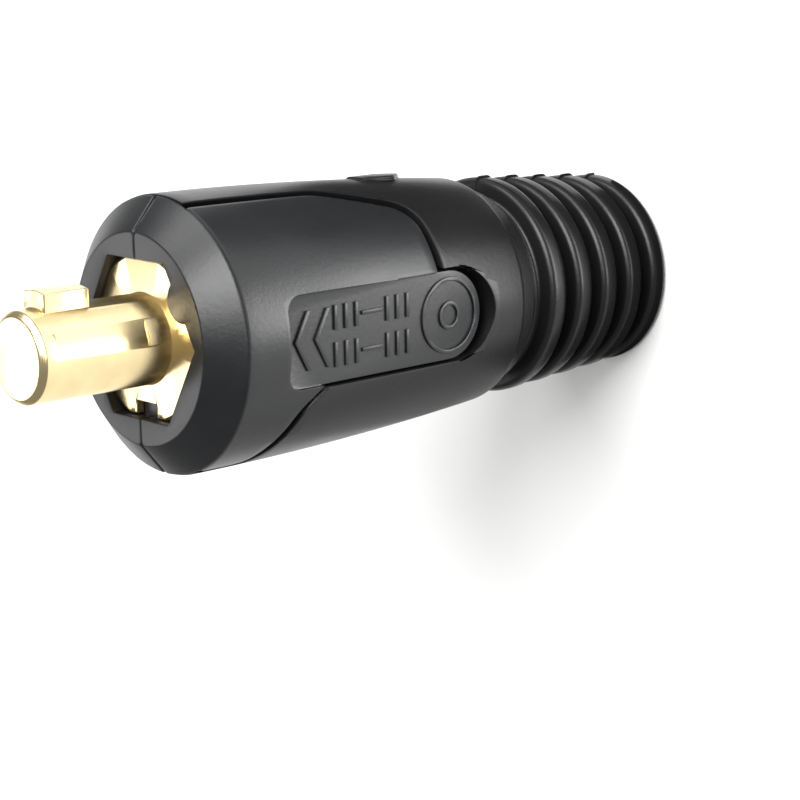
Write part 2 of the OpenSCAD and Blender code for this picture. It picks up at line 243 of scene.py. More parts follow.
def settle(name):
    """Names the primitive that was just added and puts its place into its mesh."""
    piece = bpy.context.object
    piece.name = name
    piece.data.name = name
    bpy.ops.object.transform_apply(location=True, rotation=True, scale=True)
    return piece


def tidy_mesh(piece):
    """Merges doubles and turns every face outwards."""
    pick(piece)
    bpy.ops.object.mode_set(mode="EDIT")
    bpy.ops.mesh.select_all(action="SELECT")
    bpy.ops.mesh.remove_doubles(threshold=0.002 * MM)
    bpy.ops.mesh.normals_make_consistent(inside=False)
    bpy.ops.object.mode_set(mode="OBJECT")
    return piece


def corner_arc(before, at, after, radius, steps):
    """The points of the arc that rounds one corner of an outline."""
    before, at, after = Vector(before[:2]), Vector(at[:2]), Vector(after[:2])
    a, b = (before - at).normalized(), (after - at).normalized()
    half = a.angle(b) / 2
    centre = at + (a + b).normalized() * radius / math.sin(half)
    first = at + a * radius / math.tan(half) - centre
    last = at + b * radius / math.tan(half) - centre
    begin = math.atan2(first.y, first.x)
    sweep = (math.atan2(last.y, last.x) - begin + 3 * math.pi) % (2 * math.pi) - math.pi
    angles = [begin + sweep * i / steps for i in range(steps + 1)]
    return [(centre.x + radius * math.cos(t), centre.y + radius * math.sin(t)) for t in angles]


def rounded(corners, steps=6):
    """An outline from corners (x, y) or (x, y, radius): each corner with a radius becomes an arc."""
    points = []
    for i, corner in enumerate(corners):
        if len(corner) == 2:
            points.append(corner)
        else:
            points += corner_arc(corners[i - 1], corner, corners[(i + 1) % len(corners)], corner[2], steps)
    return points


def path(name, points, closed=True):
    """Draws a line of points, edge by edge, and leaves it selected in edit mode."""
    deselect()
    bpy.ops.mesh.primitive_plane_add(size=MM, location=points[0])
    piece = settle(name)
    bpy.ops.object.mode_set(mode="EDIT")
    bpy.ops.mesh.merge(type="CENTER")
    ends = points[1:] + points[:1] if closed else points[1:]
    for here, there in zip(points, ends):
        bpy.ops.mesh.extrude_region_move(TRANSFORM_OT_translate={"value": there - here})
    bpy.ops.mesh.select_all(action="SELECT")
    bpy.ops.mesh.remove_doubles(threshold=0.001 * MM)
    return piece


def turned(name, section, steps=144, closed=True):
    """Spins a half section of (radius, height) points round Z into a solid."""
    piece = path(name, [Vector((radius, 0, z)) for radius, z in section], closed)
    bpy.ops.mesh.spin(steps=steps, angle=2 * math.pi, center=(0, 0, 0), axis=(0, 0, 1))
    return tidy_mesh(piece)


def prism(name, outline, place, depth):
    """Extrudes a flat outline: place puts its plane, and the depth runs along place's own Z."""
    piece = path(name, [place @ Vector((x, y, 0)) for x, y in outline])
    bpy.ops.mesh.edge_face_add()
    push = place.to_3x3() @ Vector((0, 0, depth))
    bpy.ops.mesh.extrude_region_move(TRANSFORM_OT_translate={"value": push})
    return tidy_mesh(piece)


def post(name, radius, foot, head, sides=64):
    """A round post between two points."""
    deselect()
    foot, head = Vector(foot), Vector(head)
    bpy.ops.mesh.primitive_cylinder_add(
        vertices=sides, radius=radius, depth=(head - foot).length, location=(foot + head) / 2,
        rotation=(head - foot).to_track_quat("Z", "Y").to_euler())
    return settle(name)


def hexagon(name, flats, low, high):
    """A hexagonal bar round Z with corners on +X and -X, given by its width across the flats."""
    corners = [(flats / math.sqrt(3) * math.cos(math.radians(t)), flats / math.sqrt(3) * math.sin(math.radians(t)))
               for t in range(0, 360, 60)]
    return prism(name, corners, Matrix.Translation((0, 0, low)), high - low)


def copied(piece, name):
    """A copy with its own mesh."""
    pick(piece)
    bpy.ops.object.duplicate()
    return settle(name)


def joined(pieces, name):
    """Puts closed pieces into one object, each with its own closed skin."""
    deselect()
    for piece in pieces:
        piece.select_set(True)
    bpy.context.view_layer.objects.active = pieces[0]
    bpy.ops.object.join()
    return settle(name)


def block(name, low, high):
    """A block between two corners."""
    deselect()
    low, high = Vector(low), Vector(high)
    bpy.ops.mesh.primitive_cube_add(size=1, location=(low + high) / 2)
    bpy.context.object.scale = high - low
    return settle(name)


def combine(piece, tool, operation="DIFFERENCE"):
    """Cuts, joins or intersects a piece with a tool, which is used up."""
    pick(piece)
    cut = piece.modifiers.new("Cut", "BOOLEAN")
    cut.operation = operation
    cut.object = tool
    cut.solver = "EXACT"
    bpy.ops.object.modifier_apply(modifier=cut.name)
    bpy.data.objects.remove(tool, do_unlink=True)
    return piece


def halve(piece, side):
    """Keeps the half of a piece on one side of the plane through the axis, side 1 towards +X and -1 towards -X."""
    low, high = sorted((0, side * FAR))
    return combine(piece, block("Half", (low, -FAR, 0), (high, FAR, TIP_Z)), "INTERSECT")


def smooth(piece, angle=32):
    """Shades a piece smooth, except over edges sharper than the angle."""
    pick(piece)
    bpy.ops.object.shade_smooth_by_angle(angle=math.radians(angle))
    return piece


def ease(piece, width, angle=38, segments=2):
    """Rounds the sharp edges of a finished form and shades the rest smooth."""
    tidy_mesh(piece)
    edge = piece.modifiers.new("Eased edges", "BEVEL")
    edge.limit_method = "ANGLE"
    edge.angle_limit = math.radians(angle)
    edge.width = width
    edge.segments = segments
    edge.use_clamp_overlap = False
    edge.loop_slide = False
    bpy.ops.object.modifier_apply(modifier=edge.name)
    return smooth(tidy_mesh(piece))


def side_place(turn):
    """The plane through the axis whose own X runs across the direction turn, and Y up the axis."""
    return Matrix.Rotation(math.radians(turn), 4, "Z") @ Matrix((
        (0, 0, 1, 0), (1, 0, 0, 0), (0, 1, 0, 0), (0, 0, 0, 1)))


# Shader tools

class Value:
    """A shader socket: Python arithmetic on it adds Math nodes to its material."""

    def __init__(self, finish, socket):
        self.finish = finish
        self.socket = socket

    def math(self, operation, first, second=0.0):
        return self.finish.node("ShaderNodeMath", {"operation": operation}, {0: first, 1: second})

    def __add__(self, other):
        return self.math("ADD", self, other)

    def __radd__(self, other):
        return self.math("ADD", other, self)

    def __sub__(self, other):
        return self.math("SUBTRACT", self, other)

    def __rsub__(self, other):
        return self.math("SUBTRACT", other, self)

    def __mul__(self, other):
        return self.math("MULTIPLY", self, other)

    def __rmul__(self, other):
        return self.math("MULTIPLY", other, self)

    def __truediv__(self, other):
        return self.math("DIVIDE", self, other)

    def __pow__(self, other):
        return self.math("POWER", self, other)

    def clamped(self):
        return self.finish.node("ShaderNodeClamp", {}, {"Value": self})


class Finish:
    """A material that is built node by node on Object coordinates."""

    def __init__(self, name):
        self.material = bpy.data.materials.new(name)
        self.material.use_nodes = True
        self.tree = self.material.node_tree
        self.tree.nodes.clear()
        self.place = self.node("ShaderNodeTexCoord", {}, {}, "Object")

    def node(self, kind, settings, inputs, output=0):
        """Adds a node: its settings first, then the values or links of its sockets."""
        made = self.tree.nodes.new(kind)
        for key, value in settings.items():
            setattr(made, key, value)
        for key, value in inputs.items():
            if isinstance(value, Value):
                self.tree.links.new(value.socket, made.inputs[key])
            else:
                made.inputs[key].default_value = value
        return Value(self, made.outputs[output])

    def noise(self, cell, detail=2.0, stretch=None):
        """Noise with cells of about that size, stretched along an axis if a scale is given."""
        place = self.place
        if stretch:
            place = self.node("ShaderNodeMapping", {}, {"Vector": self.place, "Scale": stretch})
        return self.node("ShaderNodeTexNoise", {}, {"Vector": place, "Scale": 1 / cell, "Detail": detail})

    def axis(self, letter):
        """One coordinate of a point, in metres."""
        return self.node("ShaderNodeSeparateXYZ", {}, {"Vector": self.place}, letter)

    def radius(self):
        """Distance from the plug's axis, in metres."""
        x, y = self.axis("X"), self.axis("Y")
        return (x * x + y * y) ** 0.5

    def blend(self, factor, low, high):
        """A colour between two colours."""
        return self.node("ShaderNodeMix", {"data_type": "RGBA"}, {0: factor, 6: (*low, 1), 7: (*high, 1)}, 2)

    def bump(self, height, depth):
        """A bump of that depth from a height between 0 and 1."""
        return self.node("ShaderNodeBump", {}, {"Distance": depth, "Height": height})

    def surface(self, sockets):
        """Ends the material in a Principled shader with these sockets."""
        shader = self.node("ShaderNodeBsdfPrincipled", {}, sockets)
        end = self.tree.nodes.new("ShaderNodeOutputMaterial")
        self.tree.links.new(shader.socket, end.inputs["Surface"])
        return self.material


def shade(tint, share):
    """A colour made lighter or darker by a share."""
    return tuple(min(1.0, part * share) for part in tint)


def rubber_finish(tint, sizes):
    """Black rubber: a fine pebbled skin, duller in patches and a little polished on the ribs' crests."""
    finish = Finish("Black rubber")
    patches = finish.noise(14 * MM, 3)
    skin = finish.noise(0.75 * MM, 3)
    pebbles = finish.noise(0.22 * MM, 3)
    specks = finish.noise(0.6 * MM, 1)
    crest = sizes.rib_tail / 2 + finish.axis("Z") * ((sizes.rib_front - sizes.rib_tail) / 2 / (
        (sizes.rib_count - 1) * sizes.rib_pitch))
    worn = ((finish.radius() - crest + 0.7 * MM) / (0.7 * MM)).clamped()
    dust = (specks * 2.2 - 0.9).clamped() * 0.25 + patches * 0.5
    return finish.surface({
        "Base Color": finish.blend(dust, shade(tint, 0.8), shade(tint, 1.35)),
        "Roughness": 0.26 + patches * 0.12 + pebbles * 0.06 - worn * 0.03,
        "Specular IOR Level": 0.38,
        "Normal": finish.bump(skin * 0.75 + pebbles * 0.25, 0.03 * MM),
    })


def plastic_finish(tint):
    """Dark moulded plastic: an even spark-eroded grain with faint cloudy changes of gloss."""
    finish = Finish("Moulded plastic")
    clouds = finish.noise(11 * MM, 3)
    grain = finish.noise(0.16 * MM, 2)
    skin = finish.noise(0.7 * MM, 3)
    flow = finish.noise(5 * MM, 2, (1, 1, 0.25))
    return finish.surface({
        "Base Color": finish.blend(clouds * 0.6 + flow * 0.4, shade(tint, 0.6), shade(tint, 1.6)),
        "Roughness": 0.22 + clouds * 0.12 + flow * 0.08 + grain * 0.06,
        "Specular IOR Level": 0.45,
        "Normal": finish.bump(skin * 0.75 + grain * 0.25, 0.03 * MM),
    })


def brass_finish(tint):
    """Bright machined brass: turning rings, a few drawn scratches and soft cloudy tarnish."""
    finish = Finish("Machined brass")
    rings = finish.node("ShaderNodeTexWave", {"bands_direction": "Z"}, {
        "Vector": finish.place, "Scale": 0.314 / (0.22 * MM), "Distortion": 0.6, "Detail": 2.0,
        "Detail Scale": 0.3})
    face_rings = finish.node("ShaderNodeTexWave", {"wave_type": "RINGS", "rings_direction": "Z"}, {
        "Vector": finish.place, "Scale": 0.314 / (0.3 * MM), "Distortion": 0.4, "Detail": 1.0})
    tarnish = finish.noise(4 * MM, 4)
    drawn = finish.noise(0.5 * MM, 3, (1, 1, 0.06))
    marks = rings * 0.5 + face_rings * 0.2 + drawn * 0.3
    return finish.surface({
        "Base Color": finish.blend((tarnish * 1.6 - 0.4).clamped(), tint, shade(tint, 0.82)),
        "Metallic": 1.0,
        "Roughness": 0.14 + tarnish * 0.1 + marks * 0.08,
        "Normal": finish.bump(marks, 0.004 * MM),
    })


def copper_finish(tint):
    """Rolled copper: long rolling lines and brown spots of oxide."""
    finish = Finish("Rolled copper")
    lines = finish.noise(0.25 * MM, 3, (1, 1, 0.05))
    spots = finish.noise(2.5 * MM, 4)
    return finish.surface({
        "Base Color": finish.blend((spots * 2 - 0.7).clamped(), tint, shade(tint, 0.6)),
        "Metallic": 1.0,
        "Roughness": 0.26 + spots * 0.2 + lines * 0.06,
        "Normal": finish.bump(lines, 0.006 * MM),
    })


def steel_finish(tint):
    """Zinc-plated steel: fine crystals and a warm cast in patches."""
    finish = Finish("Plated steel")
    crystals = finish.noise(0.18 * MM, 3)
    cast = finish.noise(3 * MM, 2)
    return finish.surface({
        "Base Color": finish.blend(cast, tint, (tint[0] * 1.05, tint[1] * 0.98, tint[2] * 0.82)),
        "Metallic": 1.0,
        "Roughness": 0.28 + crystals * 0.14 + cast * 0.08,
        "Normal": finish.bump(crystals, 0.006 * MM),
    })


def floor_finish(tint, name="Pale paper"):
    """A matt sweep of paper."""
    finish = Finish(name)
    fibres = finish.noise(0.8 * MM, 3)
    return finish.surface({
        "Base Color": finish.blend(fibres, shade(tint, 0.985), tint),
        "Roughness": 0.75 + fibres * 0.1,
        "Normal": finish.bump(fibres, 0.01 * MM),
    })


def fasten(piece, material, body, slot, *nodes):
    """Gives a finished piece its material and its body, and hides the nodes it stands for; the record slot is not
    used.
    """
    piece.data.materials.clear()
    piece.data.materials.append(material)
    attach(piece, body)
    if nodes:
        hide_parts(*nodes)
    return piece


# Forms shared by the shells and the sleeve

def rim_z():
    """Height of the front rim."""
    return FACE_Z - bpy.context.scene.cable_plug.shells.nose_length


def skirt_z():
    """Height of the rear end of the shells' skirt, which is the mouth of the barrel."""
    return BARREL_Z


def body_r(z):
    """Radius of the body at a height: a slow belly from the shoulder to the front rim."""
    size = bpy.context.scene.cable_plug.sleeve
    fall = (size.body_front - size.body_rear) / 2
    return size.body_front / 2 - fall * ((rim_z() - z) / size.body_length) ** 2


def belly(low, high, steps=20):
    """Points of the body's outline between two heights."""
    heights = [low + (high - low) * i / steps for i in range(steps + 1)]
    return [(body_r(z), z) for z in heights]


LOBE_TURN = 45
LONG_LOBE = {"length": 36.9 * MM, "side": 8.3 * MM, "turn_in": 22.4 * MM, "rear": 2.7 * MM, "round": 5.6 * MM}
SHORT_LOBE = {"length": 7 * MM, "side": 7.2 * MM, "fall": 11.5 * MM}


def lobes(turn, gap):
    """The long and the short lobe of the cheek on one side, grown by a gap."""
    inner = bpy.context.scene.cable_plug.sleeve.body_front * 0.3
    top = rim_z()
    side = LONG_LOBE["side"] + gap
    rear = top - LONG_LOBE["length"] - gap
    long_lobe = prism("Long lobe", rounded([
        (-inner, rear), (LONG_LOBE["rear"] + gap, rear, LONG_LOBE["round"]),
        (side, top - LONG_LOBE["turn_in"] - gap, 2 * LONG_LOBE["round"]),
        (side, top + FAR), (-inner, top + FAR)], 12), side_place(turn + LOBE_TURN), FAR)
    side = -SHORT_LOBE["side"] - gap
    rear = top - SHORT_LOBE["length"] - gap
    short_lobe = prism("Short lobe", rounded([
        (side, rear, SHORT_LOBE["side"] * 0.4),
        (inner * 0.45, rear - SHORT_LOBE["fall"] / 3, SHORT_LOBE["side"]),
        (inner, rear - SHORT_LOBE["fall"]), (inner, top + FAR), (side, top + FAR)], 12),
        side_place(turn - LOBE_TURN), FAR)
    return long_lobe, short_lobe


def tab(turn, gap, end_gap):
    """The panel's tab with a round rear end, from the axis out."""
    size = bpy.context.scene.cable_plug.shells
    radius = size.panel_width / 2 + gap
    centre = TAB_Z + size.panel_width / 2 - end_gap
    arc = [(radius * math.cos(math.radians(t)), centre + radius * math.sin(math.radians(t)))
           for t in range(180, 361, 6)]
    return prism("Tab", arc + [(radius, rim_z() + FAR), (-radius, rim_z() + FAR)], side_place(turn), FAR)


class CABLEPLUG_OT_sleeve(bpy.types.Operator):
    """Model the rubber sleeve with its ribs, tongues, tab slots and alignment mark"""

    bl_idname = "cableplug.sleeve"
    bl_label = "Rubber sleeve"

    def section(self, size, shells):
        """Half section of the sleeve: ribs, band, shoulder, belly, and back down its inside."""
        outline = [(size.bore / 2, 0)]
        for k in range(size.rib_count):
            z = k * size.rib_pitch
            top = (size.rib_tail + (size.rib_front - size.rib_tail) * k / (size.rib_count - 1)) / 2
            bottom = top - size.groove_depth
            draft = (size.rib_pitch - size.rib_width) * 0.15
            outline += [
                (top, z, size.rib_round), (top, z + size.rib_width, size.rib_round),
                (bottom, z + size.rib_width + draft, size.groove_round),
                (bottom, z + size.rib_pitch - draft, size.groove_round)]
        grip = size.rib_count * size.rib_pitch
        shoulder = grip + size.band_length
        outline += [
            ((size.band_front - size.band_taper) / 2, grip, 0.3 * MM),
            (size.band_front / 2, shoulder - size.shoulder_round),
            (body_r(shoulder), shoulder, size.shoulder_round)]
        outline += belly(shoulder + 2 * size.shoulder_round, SLEEVE_TOP)
        seat = shells.skirt / 2 + size.seat_gap
        outline += [(seat, SLEEVE_TOP), (seat, skirt_z()), (size.bore / 2, skirt_z())]
        return rounded(outline)

    def execute(self, context):
        plug = context.scene.cable_plug
        size, shells = plug.sleeve, plug.shells
        piece = turned("rubber_sleeve", self.section(size, shells))
        for turn in (0, 180):
            for lobe in lobes(turn, shells.seam):
                combine(piece, lobe)
            slot = tab(turn, shells.tab_gap, shells.tab_end_gap)
            root = shells.skirt / 2 - shells.fit - shells.tab_gap
            combine(slot, post("Root", root, (0, 0, 0), (0, 0, skirt_z()), 144))
            combine(piece, slot)
        combine(piece, self.mark(size), "UNION")
        ease(piece, size.edge)
        piece = smooth(joined([piece, self.parting_line(size, shells)], "rubber_sleeve"))
        fasten(piece, rubber_finish(tuple(plug.colours.rubber), size), "sleeve", "sleeve_rubber", "rear_sleeve")
        return {"FINISHED"}

    def parting_line(self, size, shells):
        """The fine ridge that the mould leaves over the ribs, on the lug side and opposite."""
        skin = [(r + size.flash if r > size.bore / 2 else r + MM, z) for r, z in self.section(size, shells)]
        grip = size.rib_count * size.rib_pitch
        slab = block("Slab", (-size.flash / 2, -FAR, size.rib_round), (size.flash / 2, FAR, grip))
        return combine(turned("Parting line", skin), slab, "INTERSECT")

    def mark(self, size):
        """The raised arrow that lines up with the locking lug."""
        tip = size.rib_count * size.rib_pitch + size.band_length + size.mark_in
        neck, end, half = tip + size.mark_head, tip + size.mark_head + size.mark_length, size.mark_width / 2
        crest = body_r(neck) + size.mark_height
        foot = side_place(90) @ Matrix.Translation((0, 0, crest - 2 * MM))
        return prism("Mark", [(0, tip), (half, neck), (half, end), (-half, end), (-half, neck)], foot, 2 * MM)


def collar_face():
    """Height of the collar's front face."""
    return TIP_Z - bpy.context.scene.cable_plug.contact.pin_length


def collar_rear():
    """Height of the collar's rear face."""
    return collar_face() - bpy.context.scene.cable_plug.contact.collar_thick


def groove_rear():
    """Height of the groove's rear end, where the barrel begins."""
    return collar_rear() - bpy.context.scene.cable_plug.contact.groove_length


def notch_posts(radius, low, high):
    """Two round posts at the collar's notches."""
    size = bpy.context.scene.cable_plug.contact
    posts = []
    for turn in (size.notch_turn, size.notch_turn + math.pi):
        x, y = size.notch_out * math.cos(turn), size.notch_out * math.sin(turn)
        posts.append(post("Notch", radius, (x, y, low), (x, y, high), 96))
    return posts


def panel_place():
    """The plane of the near marking panel: own X runs across it, and own Y along it towards the nose."""
    shells = bpy.context.scene.cable_plug.shells
    slope = Matrix.Rotation(shells.panel_slope, 4, "Y")
    return Matrix.Translation((body_r(TAB_Z) - shells.panel_depth, 0, TAB_Z)) @ slope @ side_place(0)


class CABLEPLUG_OT_shells(bpy.types.Operator):
    """Model the two front shells with their cheeks, tabs, marking panels and access holes"""

    bl_idname = "cableplug.shells"
    bl_label = "Front shells"

    def cheeks(self, shells):
        """The outer wall: both lobes, the panel's tab and the nose."""
        top, root = rim_z(), shells.skirt / 2 - shells.fit
        wall = turned("Wall", rounded([
            (root, TAB_Z), *belly(TAB_Z, top - 2 * shells.rim_round), (body_r(top), top, shells.rim_round),
            (shells.nose_face / 2, FACE_Z, shells.rim_round / 2), (root, FACE_Z)]))
        space = block("Nose", (-FAR, -FAR, top), (FAR, FAR, top + FAR))
        for part in (*lobes(0, 0), tab(0, 0, 0)):
            combine(space, part, "UNION")
        return combine(wall, space, "INTERSECT")

    def joint_groove(self, shells, side):
        """The groove along the joint of the two shells, over the cone of the nose."""
        top, deep, away = rim_z(), shells.split_depth, FACE_Z + FAR
        edge, face = body_r(top) - deep, shells.nose_face / 2 - deep / 2
        outline = [(edge, top - deep), (edge, top), (face, FACE_Z), (face, away), (FAR, away), (FAR, top - deep)]
        return prism("Joint groove", [(side * across, up) for across, up in outline],
                     Matrix.Translation((-shells.split_width / 2, 0, 0)) @ side_place(0), shells.split_width)

    def blank(self, plug):
        """One shell before it is halved, with its skirt, the collar's recess and the marking panel."""
        shells, contact = plug.shells, plug.contact
        web, hole, skirt = contact.groove / 2 + shells.fit, contact.barrel / 2 + shells.fit, shells.skirt / 2
        step = groove_rear() + shells.fit
        piece = turned("Skirt", [
            (hole, skirt_z()), (skirt, skirt_z()), (skirt, FACE_Z), (web, FACE_Z), (web, step), (hole, step)])
        combine(piece, self.cheeks(shells), "UNION")
        recess = hexagon("Recess", contact.collar_flats + 2 * shells.fit, collar_rear(), FACE_Z + FAR)
        for notch in notch_posts(contact.notch / 2 - shells.fit, collar_rear() - MM, FACE_Z + 2 * FAR):
            combine(recess, notch)
        combine(piece, recess)
        for side in (1, -1):
            combine(piece, self.joint_groove(shells, side))
        half, front = shells.panel_width / 2, rim_z() - shells.panel_in - TAB_Z
        panel = prism("Panel", rounded([
            (-half, -FAR), (-half, front, shells.panel_corner), (half, front, shells.panel_corner), (half, -FAR)]),
            panel_place(), FAR)
        return combine(piece, panel)

    def execute(self, context):
        plug = context.scene.cable_plug
        shells, contact = plug.shells, plug.contact
        plastic = plastic_finish(tuple(plug.colours.plastic))
        near = self.blank(plug)
        near.name = near.data.name = "shell_near"
        far_one = copied(near, "shell_far")
        far_one.rotation_euler.z = math.pi
        pick(far_one)
        settle("shell_far")
        for piece, side in ((near, 1), (far_one, -1)):
            for z in SCREW_ZS:
                combine(piece, post("Access", shells.access / 2, (0, 0, z), (0, FAR, z), 96))
            halve(piece, side)
            ease(piece, shells.edge)
            root = -contact.collar_flats / 2 - shells.fit - MM
            low, high = sorted((0, side * shells.key / 2))
            key = block("Key", (low, root, collar_rear() - shells.fit),
                        (high, root + MM + contact.slot_depth, collar_face() - shells.key_back))
            piece = smooth(joined([piece, key], piece.name))
            node = "front_shell_near" if side > 0 else "front_shell_far"
            fasten(piece, plastic, "plug_front", "shell_plastic", node)
        return {"FINISHED"}


class CABLEPLUG_OT_print(bpy.types.Operator):
    """Model the plain raised marks on both panels: a ring, two rows of bars and two chevrons"""

    bl_idname = "cableplug.print"
    bl_label = "Panel marks"

    def ring(self, centre, radius, stroke, lift, height):
        """A plain ring that lies on the panel."""
        circles = []
        for r, low, tall in ((radius, 0, height), (radius - stroke, -MM, height + 2 * MM)):
            outline = [(r * math.cos(math.radians(t)), centre + r * math.sin(math.radians(t)))
                       for t in range(0, 360, 5)]
            circles.append(prism("Ring", outline, lift @ Matrix.Translation((0, 0, low)), tall))
        return combine(*circles)

    def bars(self, shells, lift, height):
        """Two rows of upright bars with a short dash between them."""
        tall, stroke, pitch = shells.panel_width * 0.27, shells.print_stroke, 2.0 * MM
        steps = [(k, tall / 2, stroke / 2) for k in (0, 1, 2, 5, 6, 7)] + [(3.5, stroke / 2, pitch)]
        pieces = []
        for row in (1, -1):
            middle = row * shells.panel_width * 0.2
            for k, half, wide in steps:
                up = shells.panel_width * 1.15 + k * pitch
                pieces.append(prism("Bar", [
                    (middle - half, up - wide), (middle + half, up - wide), (middle + half, up + wide),
                    (middle - half, up + wide)], lift, height))
        return pieces

    def chevrons(self, shells, lift, height):
        """Two chevrons that point to the pin, the way the plug goes in."""
        half, stroke = shells.panel_width * 0.32, shells.print_stroke * 1.3
        pieces = []
        for up in (shells.panel_width * 2.52, shells.panel_width * 2.8):
            slant = half * 0.55
            pieces.append(prism("Chevron", [
                (-half, up - slant), (0, up), (half, up - slant), (half, up - slant - stroke), (0, up - stroke),
                (-half, up - slant - stroke)], lift, height))
        return pieces

    def execute(self, context):
        plug = context.scene.cable_plug
        shells = plug.shells
        sunk, height = 0.1 * MM, shells.print_height + 0.1 * MM
        plastic = plastic_finish(tuple(plug.colours.plastic))
        for name, turn in (("marks_near", 0), ("marks_far", math.pi)):
            lift = Matrix.Rotation(turn, 4, "Z") @ panel_place() @ Matrix.Translation((0, 0, -sunk))
            pieces = [self.ring(shells.panel_width / 2, shells.panel_width * 0.43, shells.print_stroke, lift, height),
                      self.ring(shells.panel_width / 2, shells.panel_width * 0.16, shells.print_stroke, lift, height),
                      *self.bars(shells, lift, height), *self.chevrons(shells, lift, height)]
            marks = ease(joined(pieces, name), 0.09 * MM)
            fasten(marks, plastic, "plug_front", "shell_plastic")
        return {"FINISHED"}


class CABLEPLUG_OT_contact(bpy.types.Operator):
    """Model the brass contact with its pin, lug, flat, collar and barrel"""

    bl_idname = "cableplug.contact"
    bl_label = "Brass contact"

    def section(self, size):
        """Open half section from the tip of the pin to the bottom of the bore."""
        pin, groove, barrel, bore = size.pin / 2, size.groove / 2, size.barrel / 2, size.bore / 2
        return [
            (0, TIP_Z), (pin - size.pin_chamfer, TIP_Z), (pin, TIP_Z - size.pin_chamfer), (pin, collar_rear() + MM),
            (groove, collar_rear() + MM), (groove, groove_rear()), (barrel, groove_rear()), (barrel, BARREL_Z),
            (bore + MM, BARREL_Z), (bore, BARREL_Z + MM), (bore, BARREL_Z + size.bore_depth),
            (0, BARREL_Z + size.bore_depth)]

    def collar(self, size):
        """The hexagonal collar, its corners turned down and broken by a small chamfer."""
        low, high, corner = collar_rear(), collar_face(), size.collar_turned / 2
        break_edge = 0.6 * MM
        disc = turned("Corners", [
            (0, high), (corner - break_edge, high), (corner, high - break_edge), (corner, low + break_edge),
            (corner - break_edge, low), (0, low)], closed=False)
        piece = combine(hexagon("Collar", size.collar_flats, low, high), disc, "INTERSECT")
        slot_y = -size.collar_flats / 2 + size.slot_depth
        combine(piece, block("Key slot", (-size.slot_width / 2, slot_y - 2 * size.slot_depth - FAR, low - MM),
                             (size.slot_width / 2, slot_y, high + MM)))
        for notch in notch_posts(size.notch / 2, low - MM, high + MM):
            combine(piece, notch)
        return piece

    def lug(self, size):
        """The locking lug, turned on its crest."""
        low = TIP_Z - size.lug_back - size.lug_length
        high = low + size.lug_length
        piece = post("Lug", size.pin / 2 + size.lug_height, (0, 0, low), (0, 0, high), 144)
        half = size.lug_width / 2
        return combine(piece, block("Sides", (-half, 0, low - MM), (half, size.pin, high + MM)), "INTERSECT")

    def execute(self, context):
        plug = context.scene.cable_plug
        size = plug.contact
        piece = turned("brass_contact", self.section(size), closed=False)
        combine(piece, self.collar(size), "UNION")
        combine(piece, self.lug(size), "UNION")
        level = math.sqrt(size.pin ** 2 - size.flat_width ** 2) / 2
        high = TIP_Z - size.flat_back
        low, wide = high - size.flat_length, size.flat_width
        combine(piece, prism("Flat", [(-wide, low), (wide, low), (wide, high), (-wide, high)],
                             side_place(math.degrees(size.flat_turn)) @ Matrix.Translation((0, 0, level)), wide))
        for z in SCREW_ZS:
            combine(piece, post("Screw hole", plug.clamp.screw / 2 + 0.07 * MM, (0, 0, z), (0, FAR, z), 96))
        ease(piece, size.edge)
        fasten(piece, brass_finish(tuple(plug.colours.brass)), "plug_front", "contact_brass", "contact")
        return {"FINISHED"}


